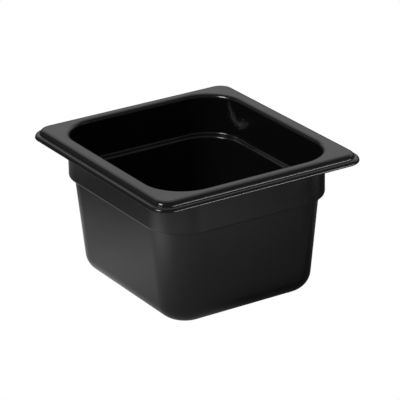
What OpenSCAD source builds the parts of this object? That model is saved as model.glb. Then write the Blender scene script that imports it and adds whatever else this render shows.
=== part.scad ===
// Deli food pan: one black moulded pan with a wide flat rim, a stacking
// shoulder and a tapered well. Everything is in millimetres.
// Origin: centre of the resting face. +Z up out of the well, +X across the
// short side, +Y along the long side.

/* [Overall] */
// overall size across the rim, X (short side)
rim_x = 163.5; // [150:0.5:180]
// overall size across the rim, Y (long side)
rim_y = 174.5; // [165:0.5:195]
// overall height, table to top of rim
pan_h = 102.8; // [98:0.2:160]

/* [Rim] */
// corner radius of the rim's outer edge, seen from above
rim_corner_r = 13.9; // [13:0.1:18]
// thickness of the flat flange
flange_t = 2.2; // [1.8:0.1:2.6]
// radius of the roll where the flange turns down
roll_r = 3.8; // [3.2:0.1:4]
// distance from the rim's outer edge to the outside of the roll
lip_w = 3.3; // [3:0.1:4]
// drop from the flange to the top of the outer lip
lip_drop = 3.5; // [3.2:0.1:3.6]
// thickness of the outer lip
lip_t = 2.8; // [2.8:0.1:3.6]
// rounding of the lip's upper outer edge
lip_edge_r = 2.3; // [1.6:0.1:2.3]
// rounding of the lip's lower outer edge
lip_foot_r = 0.3; // [0.2:0.1:0.4]
// small fillet between the roll and the lip
lip_fillet_r = 0.5; // [0.4:0.1:0.9]

/* [Mouth] */
// inside width of the mouth, X
mouth_x = 133.4; // [120:0.2:134]
// inside length of the mouth, Y
mouth_y = 148.8; // [135:0.2:150]
// inside corner radius of the mouth
mouth_corner_r = 27.6; // [24:0.2:32]
// rounding of the mouth's top edge
mouth_edge_r = 3; // [2:0.1:3.4]

/* [Walls] */
// thickness of the upper band and of the lower walls
wall_t = 2; // [1.8:0.1:2.4]
// thickness of the floor
floor_t = 2.6; // [2:0.1:4]

/* [Shoulder] */
// height at which the band's outer face starts to round under
shoulder_z = 73; // [72.6:0.1:74]
// rounding of the band's lower outer edge
shoulder_r = 2; // [1.4:0.1:2.4]
// downward slope of the shoulder's underside, degrees
shoulder_slope = 20; // [14:1:22]
// height of the inner ledge at the foot of the band
ledge_z = 72.4; // [71:0.2:74]
// downward slope of the inner ledge, degrees
ledge_slope = 16; // [10:1:20]
// radius of the concave corner above the inner ledge
ledge_fillet_r = 1.5; // [1:0.1:2]

/* [Well] */
// distance from the rim's outer edge to the lower wall, X sides, at ledge height
well_inset_x = 16.4; // [16:0.1:17]
// distance from the rim's outer edge to the lower wall, Y sides, at ledge height
well_inset_y = 14.8; // [14.4:0.1:15.4]
// outer corner radius of the lower wall at ledge height
well_corner_r = 26.9; // [26:0.1:28]
// taper of the lower walls, degrees from vertical
draft = 5.5; // [4:0.1:6]
// outer radius between the walls and the floor
foot_r = 14; // [9:0.5:15]

/* [Hidden] */

pan_colour = [0.035, 0.035, 0.038];
$fn = 72;

// overlaps between neighbouring shapes, and margins of cuts and clips
lap = 1;
half_lap = 0.5;
thin_lap = 0.1;
fine_lap = 0.05;

// corner centres: rim, mouth and lower walls each have their own
rim_cx = rim_x/2 - rim_corner_r;
rim_cy = rim_y/2 - rim_corner_r;
mouth_cx = mouth_x/2 - mouth_corner_r;
mouth_cy = mouth_y/2 - mouth_corner_r;
well_cx = rim_x/2 - well_inset_x - well_corner_r;
well_cy = rim_y/2 - well_inset_y - well_corner_r;

// In every profile x is the distance outwards from the core rectangle through
// the corner centres, and y is the height.

// rim profile
lip_top = pan_h - lip_drop;
lip_bottom = lip_top - lip_t;
lip_edge_x = rim_corner_r - lip_edge_r;    // centre of the lip's upper rounding
lip_foot_x = rim_corner_r - lip_foot_r;    // centre of the lip's lower rounding
roll_x = rim_corner_r - lip_w - roll_r;    // centre of the roll
roll_z = pan_h - roll_r;
roll_inner_r = roll_r - flange_t;
skirt_x = roll_x + roll_inner_r;           // inner face of the skirt
roll_tab = 0.6;                            // how far the roll runs into its neighbours
rim_bite = 0.4;                            // depth of overlaps inside the rim's thickness
fillet_z = lip_top + lip_fillet_r;
fillet_x = roll_x + sqrt(pow(roll_r + lip_fillet_r, 2) - pow(fillet_z - roll_z, 2));

// band profile: the underside runs from the rounding's end to a root inside
// the thickness of the lower wall
root_inset = 5.1;
band_r = mouth_corner_r + wall_t;
band_round_x = band_r - shoulder_r;
under_x = band_round_x + shoulder_r*sin(shoulder_slope);
under_z = shoulder_z - shoulder_r*cos(shoulder_slope);
root_x = band_r - root_inset;
root_z = under_z - (under_x - root_x)*tan(shoulder_slope);

// mouth profile: the ledge's inner edge is averaged over the X and Y sides
ledge_edge_x = ((rim_x/2 - well_inset_x - mouth_cx)
    + (rim_y/2 - well_inset_y - mouth_cy))/2 - wall_t;
ledge_fillet_x = mouth_corner_r - ledge_fillet_r;
ledge_fillet_z = ledge_z + (ledge_fillet_x - ledge_edge_x)*tan(ledge_slope)
    + ledge_fillet_r/cos(ledge_slope);
// from the fillet's centre to where it meets the ledge
ledge_touch_x = ledge_fillet_r*sin(ledge_slope);
ledge_touch_z = -ledge_fillet_r*cos(ledge_slope);
mouth_core_z = ledge_z - 3;                // bottom of the mouth cut's core

// well
draft_run = tan(draft);                    // outward run of the wall per unit of height
well_top = shoulder_z + lap;
well_cut_top = ledge_z + 2;
inner_foot_r = foot_r - floor_t + 0.4;     // slightly more than concentric

// A solid block whose side profile is the 2-D child, set around the core
// rectangle 2*core_x by 2*core_y, which is filled between bottom and top.
module block_round(core_x, core_y, bottom, top) {
    // corners
    for (sx = [-1, 1], sy = [-1, 1])
        translate([sx*core_x, sy*core_y, 0])
            rotate([0, 0, sx > 0 ? (sy > 0 ? 0 : 270) : (sy > 0 ? 90 : 180)])
                rotate_extrude(angle = 90, $fn = 64) children();
    // straight sides, facing X and then Y
    for (s = [-1, 1]) {
        translate([s*core_x, s*core_y, 0])
            rotate([90, 0, s > 0 ? 0 : 180])
                linear_extrude(height = 2*core_y) children();
        translate([-s*core_x, s*core_y, 0])
            rotate([90, 0, s > 0 ? 90 : 270])
                linear_extrude(height = 2*core_x) children();
    }
    translate([-core_x, -core_y, bottom])
        cube([2*core_x, 2*core_y, top - bottom]);
}

// the part of a disc that lies inside the child, both centred on [x, z]
module disc_part(x, z, radius, facets)
    translate([x, z]) intersection() {
        circle(r = radius, $fn = facets);
        children();
    }

// a quarter ring, with tabs reaching into the flange and the skirt
module roll_profile()
    translate([roll_x, roll_z]) intersection() {
        difference() {
            circle(r = roll_r, $fn = 48);
            circle(r = roll_inner_r, $fn = 48);
        }
        union() {
            square(roll_r + lap);
            translate([-roll_tab, roll_inner_r + rim_bite]) square([lap, roll_r]);
            translate([roll_inner_r + rim_bite, -roll_tab]) square([roll_r, lap]);
        }
    }

// outer lip with both outer edges rounded
module lip_profile() {
    translate([skirt_x, lip_bottom]) square([lip_edge_x - skirt_x, lip_t]);
    translate([lip_edge_x - half_lap, lip_bottom])
        square([lip_edge_r - lip_foot_r + half_lap, lip_t - lip_edge_r]);
    translate([lip_edge_x - half_lap, lip_bottom + lip_foot_r])
        square([lip_edge_r + half_lap, lip_t - lip_edge_r - lip_foot_r]);
    disc_part(lip_foot_x, lip_bottom + lip_foot_r, lip_foot_r, 24)
        translate([-thin_lap, -lap]) square([lap, lap + fine_lap]);
    disc_part(lip_edge_x, lip_top - lip_edge_r, lip_edge_r, 40)
        translate([-half_lap, -fine_lap]) square(lip_edge_r + lap);
}

// fillet between roll and lip
module lip_fillet_profile()
    difference() {
        polygon([
            [roll_x, roll_z],
            [skirt_x + rim_bite, lip_top - rim_bite],
            [fillet_x, lip_top - rim_bite],
            [fillet_x, fillet_z]
        ]);
        translate([roll_x, roll_z]) circle(r = roll_inner_r + rim_bite, $fn = 48);
        translate([fillet_x, fillet_z]) circle(r = lip_fillet_r, $fn = 24);
    }

// rim: flat flange, roll turning down into a skirt, outer lip, hollow beneath
module rim_profile() {
    translate([0, pan_h - flange_t]) square([roll_x, flange_t]);
    roll_profile();
    translate([skirt_x, lip_bottom]) square([flange_t, roll_z - lip_bottom]);
    lip_profile();
    lip_fillet_profile();
}

// outside of the upper band: an upright face, a rounded lower edge, and the
// shoulder's underside sloping in to the lower wall
module band_profile() {
    translate([0, shoulder_z]) square([band_r, pan_h - lap - shoulder_z]);
    polygon([
        [0, root_z],
        [root_x, root_z],
        [under_x, under_z],
        [band_round_x, shoulder_z + half_lap],
        [0, shoulder_z + half_lap]
    ]);
    disc_part(band_round_x, shoulder_z, shoulder_r, 40)
        translate([-thin_lap, -shoulder_r - lap])
            square([shoulder_r + lap, shoulder_r + lap + thin_lap]);
}

// a tapered wall rounded into a floor; wall_x is the wall's distance at
// ledge height
module taper_profile(wall_x, floor_z, round_r, top) {
    // where wall and rounding meet
    meet_z = floor_z + round_r*(1 - sin(draft));
    meet_x = wall_x - (ledge_z - meet_z)*draft_run;
    round_x = meet_x - round_r*cos(draft);
    clip_x = 2*round_r*cos(draft);
    polygon([
        [0, floor_z],
        [round_x, floor_z],
        [meet_x, meet_z],
        [wall_x + (top - ledge_z)*draft_run, top],
        [0, top]
    ]);
    disc_part(round_x, floor_z + round_r, round_r, 48)
        polygon([[0, 0], [0, -2*round_r], [clip_x, -2*round_r],
                 [clip_x, -2*round_r*sin(draft)]]);
}

// space inside the mouth, down to the sloping ledge
module mouth_profile() {
    translate([0, ledge_fillet_z])
        square([mouth_corner_r, pan_h + lap - ledge_fillet_z]);
    polygon([
        [0, ledge_fillet_z + lap],
        [ledge_fillet_x, ledge_fillet_z + lap],
        [ledge_fillet_x + ledge_touch_x, ledge_fillet_z + ledge_touch_z],
        [0, ledge_z - ledge_edge_x*tan(ledge_slope)]
    ]);
    disc_part(ledge_fillet_x, ledge_fillet_z, ledge_fillet_r, 32)
        polygon([[0, lap], [0, 0], [2*ledge_touch_x, 2*ledge_touch_z],
                 [4*ledge_fillet_r, -2*ledge_fillet_r], [4*ledge_fillet_r, lap]]);
    // flare for the rounded top edge
    difference() {
        translate([mouth_corner_r - lap, pan_h - mouth_edge_r])
            square(mouth_edge_r + lap);
        translate([mouth_corner_r + mouth_edge_r, pan_h - mouth_edge_r])
            circle(r = mouth_edge_r, $fn = 40);
    }
}

module pan() color(pan_colour) {
    difference() {
        union() {
            block_round(rim_cx, rim_cy, pan_h - flange_t, pan_h) rim_profile();
            block_round(mouth_cx, mouth_cy, root_z, pan_h - lap) band_profile();
            block_round(well_cx, well_cy, 0, well_top)
                taper_profile(well_corner_r, 0, foot_r, well_top);
        }
        block_round(mouth_cx, mouth_cy, mouth_core_z, pan_h + lap) mouth_profile();
        block_round(well_cx, well_cy, floor_t, well_cut_top)
            taper_profile(well_corner_r - wall_t, floor_t, inner_foot_r, well_cut_top);
    }
}

pan();
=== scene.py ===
"""A black moulded food pan: rounded, tapered well, ledge, upright band and rolled rim with a lip.

It stands upright with the centre of its resting face at the origin: short side along X, long
side along Y, Z up. The camera looks from -X -Y, and front, back, left and right are as it sees
them. Pan sizes are in millimetres, angles in degrees.
"""
from math import atan2, cos, degrees, radians, sin, sqrt, tan

import bpy
from mathutils import Matrix, Vector


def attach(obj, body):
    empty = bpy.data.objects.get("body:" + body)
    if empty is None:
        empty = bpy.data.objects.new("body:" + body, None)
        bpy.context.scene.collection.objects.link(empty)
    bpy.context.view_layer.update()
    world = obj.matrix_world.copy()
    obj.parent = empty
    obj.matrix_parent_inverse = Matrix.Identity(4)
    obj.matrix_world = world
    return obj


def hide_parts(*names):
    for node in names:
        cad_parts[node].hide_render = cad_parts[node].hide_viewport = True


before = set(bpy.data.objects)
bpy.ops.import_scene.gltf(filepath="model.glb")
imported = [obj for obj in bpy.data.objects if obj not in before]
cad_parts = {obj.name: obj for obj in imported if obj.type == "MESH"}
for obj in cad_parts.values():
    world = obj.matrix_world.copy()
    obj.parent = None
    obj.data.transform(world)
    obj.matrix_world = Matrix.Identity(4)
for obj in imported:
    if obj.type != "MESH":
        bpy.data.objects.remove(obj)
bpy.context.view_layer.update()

MM = 0.001

# ---------------------------------------------------------------------------
# sizes of the pan
# ---------------------------------------------------------------------------
RIM_X, RIM_Y, HEIGHT = 163.5, 174.5, 102.8   # over the lip
RIM_R = 13.9                                 # plan radius of the rim's corners
WALL, FLOOR_T, FLANGE_T = 2.0, 2.6, 2.2      # thicknesses

# lip: the low step outside the rolled rim
LIP_W, LIP_T = 3.3, 2.8
LIP_TOP = HEIGHT - 3.5
LIP_BOTTOM = LIP_TOP - LIP_T
LIP_TOP_R, LIP_BOTTOM_R = 2.3, 0.3           # roundings of its outer edge

# mouth: the opening inside the flange
MOUTH_X, MOUTH_Y, MOUTH_R = 133.4, 148.8, 27.6
MOUTH_EDGE_R = 3.0

# band: the upright wall below the flange, ending in a shoulder
BAND_R = MOUTH_R + WALL
BAND_FILLET = 1.0                            # between band and flange
SHOULDER_Z, SHOULDER_R, SHOULDER_SLOPE = 73.0, 2.0, 20
KINK_R = 0.8                                 # fillet under the shoulder

# ledge: the sloping step inside, where the band meets the well
LEDGE_Z, LEDGE_SLOPE = 72.4, 16
LEDGE_FILLET, LEDGE_EDGE_R = 1.5, 1.8

# well: the tapered lower part
WELL_INSET_X, WELL_INSET_Y, WELL_R = 16.4, 14.8, 26.9   # at LEDGE_Z
DRAFT = 5.5
TAPER = tan(radians(DRAFT))
FOOT_R = 14.0
INNER_FOOT_R = FOOT_R - FLOOR_T + 0.4

# Each outline in plan is a core rectangle, given by its half sizes, grown by a distance.
CENTRE = (0.0, 0.0)
CORE_RIM = (RIM_X / 2 - RIM_R, RIM_Y / 2 - RIM_R)
CORE_MOUTH = (MOUTH_X / 2 - MOUTH_R, MOUTH_Y / 2 - MOUTH_R)
CORE_WELL = (RIM_X / 2 - WELL_INSET_X - WELL_R, RIM_Y / 2 - WELL_INSET_Y - WELL_R)

# rolled rim, and the fillet between it and the lip, as distances from CORE_RIM
ROLL_R = 3.8
ROLL_D, ROLL_Z = RIM_R - LIP_W - ROLL_R, HEIGHT - ROLL_R
ROLL_INNER_R = ROLL_R - FLANGE_T
SKIRT_D = ROLL_D + ROLL_INNER_R              # inner face of the skirt under the roll
SKIRT_EDGE_R = 0.4
LIP_FILLET = 0.5
FILLET_Z = LIP_TOP + LIP_FILLET
FILLET_D = ROLL_D + sqrt((ROLL_R + LIP_FILLET) ** 2 - (FILLET_Z - ROLL_Z) ** 2)
FILLET_END = degrees(atan2(ROLL_Z - FILLET_Z, ROLL_D - FILLET_D)) + 360
LIP_EDGE_D = RIM_R - LIP_TOP_R

# The ledge passes through height LEDGE_Z at this distance from CORE_MOUTH.
LEDGE_D = ((RIM_X / 2 - WELL_INSET_X - CORE_MOUTH[0])
           + (RIM_Y / 2 - WELL_INSET_Y - CORE_MOUTH[1])) / 2 - WALL
LEDGE_FILLET_D = MOUTH_R - LEDGE_FILLET
LEDGE_FILLET_Z = (LEDGE_Z + (LEDGE_FILLET_D - LEDGE_D) * tan(radians(LEDGE_SLOPE))
                  + LEDGE_FILLET / cos(radians(LEDGE_SLOPE)))

# mesh steps round each corner and along the sides
CORNER_STEPS, X_STEPS, Y_STEPS = 30, 14, 16
# rows across the bottom, as fractions from its centre, and one row just inside the foot
FLOOR_ROWS = (0.0, 0.12, 0.3, 0.5, 0.7, 0.85, 0.95)
FOOT_ROW_GAP = 0.5
# gaps between the skirt's and lip's roundings and their nearest rows
SKIRT_ROW_GAP, LIP_ROW_GAP = 0.2, 0.15


def unit(angle):
    """Unit vector (outward, up) at an angle above the outward direction."""
    return cos(radians(angle)), sin(radians(angle))


def mix(a, b, t):
    return a[0] + (b[0] - a[0]) * t, a[1] + (b[1] - a[1]) * t


UP, DOWN, OUT, IN = (0, 1), (0, -1), (1, 0), (-1, 0)
WELL_NORMAL = unit(-DRAFT)
SHOULDER_NORMAL = unit(SHOULDER_SLOPE - 90)
LEDGE_NORMAL = unit(90 + LEDGE_SLOPE)
INNER_WELL_NORMAL = unit(180 - DRAFT)


def well_d(z, inset=0.0):
    """Distance of the tapered wall from CORE_WELL at height z."""
    return WELL_R - inset - (LEDGE_Z - z) * TAPER


def foot(inset, floor_z, radius):
    """Centre of the rounding between the tapered wall and a floor, and the height it ends at."""
    end_z = floor_z + radius * (1 - sin(radians(DRAFT)))
    return (well_d(end_z, inset) - radius * cos(radians(DRAFT)), floor_z + radius), end_z


def corner_centre(point_a, normal_a, point_b, normal_b, offset):
    """The point that lies offset along its normal from each of two lines."""
    a = point_a[0] * normal_a[0] + point_a[1] * normal_a[1] + offset
    b = point_b[0] * normal_b[0] + point_b[1] * normal_b[1] + offset
    det = normal_a[0] * normal_b[1] - normal_a[1] * normal_b[0]
    return (a * normal_b[1] - b * normal_a[1]) / det, (normal_a[0] * b - normal_b[0] * a) / det


class Section:
    """An upright section of the pan along the outward direction (out_x, out_y).

    Its rows are (core, (distance, z), (outward, upward part of the normal)).
    """

    def __init__(self, out_x, out_y):
        self.out = out_x, out_y
        self.rows = []
        # how far the well's core edge sits inside the mouth's, along this direction
        self.well_step = ((CORE_MOUTH[0] - CORE_WELL[0]) * abs(out_x)
                          + (CORE_MOUTH[1] - CORE_WELL[1]) * abs(out_y))

    def add(self, core, point, normal):
        self.rows.append((core, point, normal))

    def line(self, core, start, end, fractions, normal, end_core=None):
        for t in fractions:
            self.add(mix(core, end_core or core, t), mix(start, end, t), normal)

    def arc(self, core, centre, radius, start, end, steps, side=1, first=0):
        """side is 1 for a surface facing away from the arc's centre, -1 for one facing it."""
        for i in range(first, steps + 1):
            x, z = unit(start + (end - start) * i / steps)
            self.add(core, (centre[0] + radius * x, centre[1] + radius * z), (side * x, side * z))

    def bend(self, centre, radius, start, end, steps, side, to_well):
        """An arc that passes from one of the mouth's and well's cores to the other."""
        for i in range(steps + 1):
            x, z = unit(start + (end - start) * i / steps)
            share = i / steps if to_well else 1 - i / steps
            distance = centre[0] + radius * x + self.well_step * share
            self.add(mix(CORE_MOUTH, CORE_WELL, share), (distance, centre[1] + radius * z),
                     (side * x, side * z))


def outer_well(sec):
    """Resting face, foot, tapered wall and the shoulder's underside."""
    centre, foot_z = foot(0.0, 0.0, FOOT_R)
    sec.line(CENTRE, (0.0, 0.0), (centre[0], 0.0), FLOOR_ROWS, DOWN, CORE_WELL)
    sec.add(CORE_WELL, (centre[0] - FOOT_ROW_GAP, 0.0), DOWN)
    sec.arc(CORE_WELL, centre, FOOT_R, -90, -DRAFT, 18)

    shoulder = (BAND_R - SHOULDER_R + SHOULDER_R * SHOULDER_NORMAL[0],
                SHOULDER_Z + SHOULDER_R * SHOULDER_NORMAL[1])
    wall_top = (well_d(LEDGE_Z) - sec.well_step, LEDGE_Z)
    kink = corner_centre(wall_top, WELL_NORMAL, shoulder, SHOULDER_NORMAL, KINK_R)
    kink_z = kink[1] - KINK_R * WELL_NORMAL[1]
    sec.line(CORE_WELL, (well_d(foot_z), foot_z), (well_d(kink_z), kink_z),
             (0.02, 0.15, 0.35, 0.55, 0.75, 0.9, 0.985), WELL_NORMAL)
    sec.bend(kink, KINK_R, 180 - DRAFT, 90 + SHOULDER_SLOPE, 7, side=-1, to_well=False)
    sec.line(CORE_MOUTH, sec.rows[-1][1], shoulder, (0.15, 0.85), SHOULDER_NORMAL)


def outer_band(sec):
    """Shoulder's rounding, band and the flange's underside."""
    sec.arc(CORE_MOUTH, (BAND_R - SHOULDER_R, SHOULDER_Z), SHOULDER_R, SHOULDER_SLOPE - 90, 0, 12)
    under_z = HEIGHT - FLANGE_T
    fillet = (BAND_R + BAND_FILLET, under_z - BAND_FILLET)
    sec.line(CORE_MOUTH, (BAND_R, SHOULDER_Z), (BAND_R, fillet[1]),
             (0.03, 0.3, 0.6, 0.85, 0.98), OUT)
    sec.arc(CORE_MOUTH, fillet, BAND_FILLET, 180, 90, 5, side=-1)
    sec.line(CORE_MOUTH, (fillet[0], under_z), (ROLL_D, under_z), (0.06, 0.5, 0.94), DOWN,
             CORE_RIM)


def rim(sec):
    """Inside of the roll, skirt, lip and the outside of the roll."""
    roll = (ROLL_D, ROLL_Z)
    sec.arc(CORE_RIM, roll, ROLL_INNER_R, 90, 0, 8, side=-1)
    edge = (SKIRT_D + SKIRT_EDGE_R, LIP_BOTTOM + SKIRT_EDGE_R)
    sec.add(CORE_RIM, (SKIRT_D, ROLL_Z - SKIRT_ROW_GAP), IN)
    sec.add(CORE_RIM, (SKIRT_D, edge[1] + SKIRT_ROW_GAP), IN)
    sec.arc(CORE_RIM, edge, SKIRT_EDGE_R, 180, 270, 4)
    lip_d = RIM_R - LIP_BOTTOM_R
    sec.add(CORE_RIM, (edge[0] + SKIRT_ROW_GAP, LIP_BOTTOM), DOWN)
    sec.add(CORE_RIM, (lip_d - LIP_ROW_GAP, LIP_BOTTOM), DOWN)
    sec.arc(CORE_RIM, (lip_d, LIP_BOTTOM + LIP_BOTTOM_R), LIP_BOTTOM_R, -90, 0, 6)
    sec.arc(CORE_RIM, (LIP_EDGE_D, LIP_TOP - LIP_TOP_R), LIP_TOP_R, 0, 90, 16)
    sec.add(CORE_RIM, ((LIP_EDGE_D + FILLET_D) / 2, LIP_TOP), UP)
    sec.arc(CORE_RIM, (FILLET_D, FILLET_Z), LIP_FILLET, 270, FILLET_END, 6, side=-1)
    # the fillet's last row is already the roll's first
    sec.arc(CORE_RIM, roll, ROLL_R, FILLET_END - 180, 90, 16, first=1)


def mouth(sec):
    """Top of the flange, mouth edge, inner face of the band and the ledge."""
    edge = (MOUTH_R + MOUTH_EDGE_R, HEIGHT - MOUTH_EDGE_R)
    sec.line(CORE_RIM, (ROLL_D, HEIGHT), (edge[0], HEIGHT),
             (0.03, 0.15, 0.38, 0.62, 0.85, 0.97), UP, CORE_MOUTH)
    sec.arc(CORE_MOUTH, edge, MOUTH_EDGE_R, 90, 180, 14)
    sec.line(CORE_MOUTH, (MOUTH_R, edge[1]), (MOUTH_R, LEDGE_FILLET_Z),
             (0.03, 0.2, 0.5, 0.8, 0.97), IN)
    sec.arc(CORE_MOUTH, (LEDGE_FILLET_D, LEDGE_FILLET_Z), LEDGE_FILLET, 0, LEDGE_SLOPE - 90, 12,
            side=-1)
    wall_top = (well_d(LEDGE_Z, WALL) - sec.well_step, LEDGE_Z)
    centre = corner_centre((LEDGE_D, LEDGE_Z), LEDGE_NORMAL, wall_top, INNER_WELL_NORMAL,
                           -LEDGE_EDGE_R)
    ledge_end = (centre[0] + LEDGE_EDGE_R * LEDGE_NORMAL[0],
                 centre[1] + LEDGE_EDGE_R * LEDGE_NORMAL[1])
    sec.line(CORE_MOUTH, sec.rows[-1][1], ledge_end, (0.2, 0.8), LEDGE_NORMAL)
    sec.bend(centre, LEDGE_EDGE_R, 90 + LEDGE_SLOPE, 180 - DRAFT, 8, side=1, to_well=True)


def inner_well(sec):
    """Inner tapered wall, inner foot and floor."""
    centre, foot_z = foot(WALL, FLOOR_T, INNER_FOOT_R)
    top_z = sec.rows[-1][1][1]
    sec.line(CORE_WELL, (well_d(top_z, WALL), top_z), (well_d(foot_z, WALL), foot_z),
             (0.02, 0.15, 0.35, 0.55, 0.75, 0.9, 0.98), INNER_WELL_NORMAL)
    sec.arc(CORE_WELL, centre, INNER_FOOT_R, -DRAFT, -90, 16, side=-1)
    sec.add(CORE_WELL, (centre[0] - FOOT_ROW_GAP, FLOOR_T), UP)
    sec.line(CENTRE, (0.0, FLOOR_T), (centre[0], FLOOR_T), FLOOR_ROWS[::-1], UP, CORE_WELL)


def make_section(angle):
    sec = Section(*unit(angle))
    for part in (outer_well, outer_band, rim, mouth, inner_well):
        part(sec)
    return sec


def pan_columns():
    """(side_x, side_y, section) round the pan; the sides scale the core's half sizes."""
    corners = [(1, 1), (-1, 1), (-1, -1), (1, -1)]
    columns = []
    for q, (side_x, side_y) in enumerate(corners):
        for i in range(CORNER_STEPS + 1):
            columns.append((side_x, side_y, make_section(90 * q + 90 * i / CORNER_STEPS)))
        next_x, next_y = corners[(q + 1) % 4]
        steps = (X_STEPS, Y_STEPS)[q % 2]
        for i in range(1, steps):
            t = i / steps
            columns.append((side_x + (next_x - side_x) * t, side_y + (next_y - side_y) * t,
                            make_section(90 * q + 90)))
    return columns


def add_mesh(name, verts, faces):
    mesh = bpy.data.meshes.new(name)
    mesh.from_pydata(verts, [], faces)
    obj = bpy.data.objects.new(name, mesh)
    bpy.context.scene.collection.objects.link(obj)
    return obj


def build_pan():
    columns = pan_columns()
    count = len(columns)
    last_row = len(columns[0][2].rows) - 1
    # the first and last rows are single points at the centre
    verts, normals = [(0, 0, 0)], [(0, 0, -1)]
    for row in range(1, last_row):
        for side_x, side_y, sec in columns:
            core, (distance, z), (normal_d, normal_z) = sec.rows[row]
            out_x, out_y = sec.out
            verts.append(((side_x * core[0] + out_x * distance) * MM,
                          (side_y * core[1] + out_y * distance) * MM, z * MM))
            normal = Vector((out_x * normal_d, out_y * normal_d, normal_z))
            normals.append(tuple(normal.normalized()))
    verts.append((0, 0, FLOOR_T * MM))
    normals.append((0, 0, 1))

    def index(row, column):
        return 1 + (row - 1) * count + column % count

    faces = []
    for c in range(count):
        faces.append((0, index(1, c + 1), index(1, c)))
        for r in range(1, last_row - 1):
            faces.append((index(r, c), index(r, c + 1), index(r + 1, c + 1), index(r + 1, c)))
        faces.append((index(last_row - 1, c), index(last_row - 1, c + 1), len(verts) - 1))
    pan = add_mesh("food_pan", verts, faces)
    pan.data.validate()
    for face in pan.data.polygons:
        face.use_smooth = True
    pan.data.normals_split_custom_set_from_vertices(normals)
    return pan


# ---------------------------------------------------------------------------
# shader nodes
# ---------------------------------------------------------------------------
class Tree:
    """Short forms for building a node tree; a value may be a constant or a socket."""

    def __init__(self, owner):
        owner.use_nodes = True
        self.tree = owner.node_tree
        self.tree.nodes.clear()

    def new(self, kind, inputs=None, **props):
        node = self.tree.nodes.new(kind)
        for name, value in props.items():
            setattr(node, name, value)
        for key, value in (inputs or {}).items():
            if isinstance(value, bpy.types.NodeSocket):
                self.tree.links.new(value, node.inputs[key])
            else:
                node.inputs[key].default_value = value
        return node

    def math(self, op, *values):
        return self.new("ShaderNodeMath", dict(enumerate(values)), operation=op).outputs[0]

    def vmath(self, op, *values):
        node = self.new("ShaderNodeVectorMath", dict(enumerate(values)), operation=op)
        return node.outputs["Value" if op in ("DOT_PRODUCT", "LENGTH") else 0]

    def smooth(self, value, low, high, to_low=0.0, to_high=1.0):
        return self.new("ShaderNodeMapRange", {
            "Value": value, "From Min": low, "From Max": high,
            "To Min": to_low, "To Max": to_high}, interpolation_type="SMOOTHSTEP").outputs[0]

    def finish_glow(self, kind, strength, output_kind):
        """Output a glow of the given strength that the camera itself sees as plain white."""
        glow, plain = [self.new(kind, {"Color": (1, 1, 1, 1), "Strength": power})
                       for power in (strength, 1.0)]
        camera_ray = self.new("ShaderNodeLightPath").outputs["Is Camera Ray"]
        mixed = self.new("ShaderNodeMixShader",
                         {0: camera_ray, 1: glow.outputs[0], 2: plain.outputs[0]})
        self.new(output_kind, {"Surface": mixed.outputs[0]})


def direction(azimuth, elevation):
    """Azimuth 0 is +Y, 90 is +X."""
    a, e = radians(azimuth), radians(elevation)
    return Vector((sin(a) * cos(e), cos(a) * cos(e), sin(e)))


# ---------------------------------------------------------------------------
# light
# ---------------------------------------------------------------------------
ROOM_GLOW, WIDE_GLOW = 0.12, 0.56
STRIP_AZIMUTH, STRIP_GLOW = 149, 9.0    # bright strip along the horizon, front right

# soft panels: azimuth, elevation, half width, half height, edge softness (degrees), strength
PANELS = [
    (-95, 36, 9, 9, 4, 13.0),           # small lamp on the left
    (STRIP_AZIMUTH, -0.5, 26, 1.2, 0.6, STRIP_GLOW),
    (-45, 25, 10, 8, 6, 0.20),          # fill, back left
    (135, 15, 9, 7, 6, 0.45),           # fill, front right
]

# pools of light on the floor: x, y, radius (mm), strength
POOLS = [
    (-275, -125, 180, 0.30), (-50, 50, 50, 0.39), (40, -270, 75, 0.28), (40, -180, 50, 0.05),
    (160, -10, 35, 0.20), (-180, 290, 40, 0.40), (-60, 140, 30, 0.30), (380, 240, 100, 0.45),
    (40, 340, 90, 0.40), (340, -190, 60, 0.35), (-200, -25, 50, 0.91), (-150, -200, 80, 0.20),
]
FLOOR_GLOW = 0.045
FLOOR_HALF, FLOOR_CELLS, FLOOR_Z = 6.0, 12, -0.0002   # metres, cells a side, metres


def build_world():
    world = bpy.data.worlds.new("studio")
    bpy.context.scene.world = world
    t = Tree(world)
    view = t.vmath("NORMALIZE", t.new("ShaderNodeTexCoord").outputs["Generated"])
    x, y, z = [t.vmath("DOT_PRODUCT", view, axis) for axis in ((1, 0, 0), (0, 1, 0), (0, 0, 1))]
    # dim room, and one wide soft panel overhead towards +X +Y
    wide = t.math("MULTIPLY", t.smooth(x, -0.30, 0.06), t.smooth(y, -0.26, 0.26))
    wide = t.math("MULTIPLY", wide, t.smooth(z, 0.18, 0.34))
    total = t.math("MULTIPLY_ADD", wide, WIDE_GLOW, ROOM_GLOW)
    for azimuth, elevation, half_w, half_h, soft, power in PANELS:
        centre = direction(azimuth, elevation)
        across = Vector((0, 0, 1)).cross(centre).normalized()
        upward = centre.cross(across).normalized()
        ahead, side, rise = [t.vmath("DOT_PRODUCT", view, tuple(axis))
                             for axis in (centre, across, upward)]
        side_angle = t.math("ABSOLUTE", t.math("ARCTAN2", side, ahead))
        level = t.math("SQRT", t.math("ADD", t.math("MULTIPLY", ahead, ahead),
                                      t.math("MULTIPLY", side, side)))
        rise_angle = t.math("ABSOLUTE", t.math("ARCTAN2", rise, level))
        masks = [t.smooth(angle, radians(half + soft / 2), radians(half - soft / 2))
                 for angle, half in ((side_angle, half_w), (rise_angle, half_h))]
        total = t.math("ADD", total, t.math("MULTIPLY", t.math("MULTIPLY", *masks), power))
    t.finish_glow("ShaderNodeBackground", total, "ShaderNodeOutputWorld")


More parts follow.
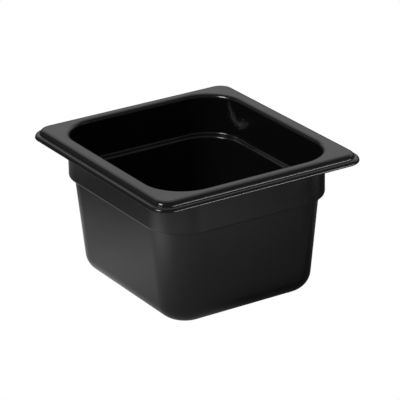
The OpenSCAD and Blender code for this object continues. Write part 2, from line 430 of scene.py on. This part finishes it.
def floor_material():
    mat = bpy.data.materials.new("pale_floor")
    t = Tree(mat)
    position = t.new("ShaderNodeNewGeometry").outputs["Position"]
    x, y = t.new("ShaderNodeSeparateXYZ", {0: position}).outputs[:2]
    # brightness of the floor as the pan reflects it: soft pools of light
    glow = FLOOR_GLOW
    for pool_x, pool_y, radius, power in POOLS:
        dx = t.math("SUBTRACT", x, pool_x * MM)
        dy = t.math("SUBTRACT", y, pool_y * MM)
        square = t.math("ADD", t.math("MULTIPLY", dx, dx), t.math("MULTIPLY", dy, dy))
        pool = t.math("EXPONENT", t.math("MULTIPLY", square, -0.5 / (radius * MM) ** 2))
        glow = t.math("MULTIPLY_ADD", pool, power, glow)
    # soft-edged shade over the floor towards +X +Y
    shade = t.math("MULTIPLY", t.smooth(y, -0.095, -0.070), t.smooth(x, -0.045, 0.010))
    glow = t.math("MULTIPLY", glow, t.math("MULTIPLY_ADD", shade, -0.65, 1.0))
    # the bright strip carries on over the far floor, front right
    flat = t.new("ShaderNodeCombineXYZ", {0: x, 1: y}).outputs[0]
    far = t.vmath("LENGTH", flat)
    ahead = t.vmath("DOT_PRODUCT", t.vmath("NORMALIZE", flat), tuple(direction(STRIP_AZIMUTH, 0)))
    strip = t.math("MULTIPLY", t.smooth(far, 0.75, 1.0), t.smooth(ahead, 0.87, 0.93))
    glow = t.math("MULTIPLY_ADD", strip, STRIP_GLOW, glow)
    t.finish_glow("ShaderNodeEmission", glow, "ShaderNodeOutputMaterial")
    return mat


def build_floor():
    n, row = FLOOR_CELLS, FLOOR_CELLS + 1
    ticks = [(i / n * 2 - 1) * FLOOR_HALF for i in range(row)]
    verts = [(x, y, FLOOR_Z) for y in ticks for x in ticks]
    starts = [j * row + i for j in range(n) for i in range(n)]
    floor = add_mesh("studio_floor", verts, [(k, k + 1, k + row + 1, k + row) for k in starts])
    floor.data.materials.append(floor_material())


def plastic():
    """Glossy black: slow waviness of the moulding, a fine grain and slightly uneven gloss."""
    mat = bpy.data.materials.new("black_moulded_plastic")
    t = Tree(mat)
    coords = t.new("ShaderNodeTexCoord").outputs["Object"]

    def noise(scale, detail):
        return t.new("ShaderNodeTexNoise",
                     {"Vector": coords, "Scale": scale, "Detail": detail}).outputs[0]

    def bump(height, distance, **more):
        return t.new("ShaderNodeBump", {"Strength": 0.25, "Distance": distance,
                                        "Height": height, **more}).outputs[0]

    waves = noise(scale=45, detail=2)
    grain = noise(scale=1600, detail=2)
    gloss = noise(scale=60, detail=5)
    wavy = bump(waves, distance=0.00012)
    surface = bump(grain, distance=0.00001, Normal=wavy)
    shader = t.new("ShaderNodeBsdfPrincipled", {
        "Base Color": (0.0060, 0.0060, 0.0063, 1),
        "IOR": 1.57,
        "Roughness": t.smooth(gloss, 0.3, 0.7, to_low=0.15, to_high=0.21),
        "Normal": surface})
    t.new("ShaderNodeOutputMaterial", {"Surface": shader.outputs[0]})
    return mat


# ---------------------------------------------------------------------------
# camera
# ---------------------------------------------------------------------------
AZIMUTH, ELEVATION, ROLL = 32.097, 22.852, -1.015
AIM, DISTANCE = Vector((0, 0, 50)), 1752.85
SLIDE_RIGHT, SLIDE_UP = -2.639, -7.8     # where AIM lies from the view's centre, mm
LENS, SENSOR_W = 229.248, 36.0


def build_camera():
    azimuth, elevation, roll = radians(AZIMUTH), radians(ELEVATION), radians(ROLL)
    level = Vector((cos(azimuth), -sin(azimuth), 0))
    forward = direction(AZIMUTH, -ELEVATION)
    upright = level.cross(forward)
    right = level * cos(roll) + upright * sin(roll)
    up = -level * sin(roll) + upright * cos(roll)
    position = AIM - right * SLIDE_RIGHT - up * SLIDE_UP - forward * DISTANCE
    data = bpy.data.cameras.new("camera")
    data.sensor_width = SENSOR_W
    data.lens = LENS
    data.clip_start, data.clip_end = 0.05, 50
    camera = bpy.data.objects.new("camera", data)
    bpy.context.scene.collection.objects.link(camera)
    placement = Matrix((right, up, -forward)).transposed().to_4x4()
    placement.translation = [value * MM for value in position]
    camera.matrix_world = placement
    bpy.context.scene.camera = camera


pan = build_pan()
pan.data.materials.append(plastic())
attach(pan, "root")
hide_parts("pan")

build_floor()
build_world()
build_camera()
bpy.context.scene.view_settings.view_transform = "Standard"
bpy.context.scene.view_settings.look = "None"
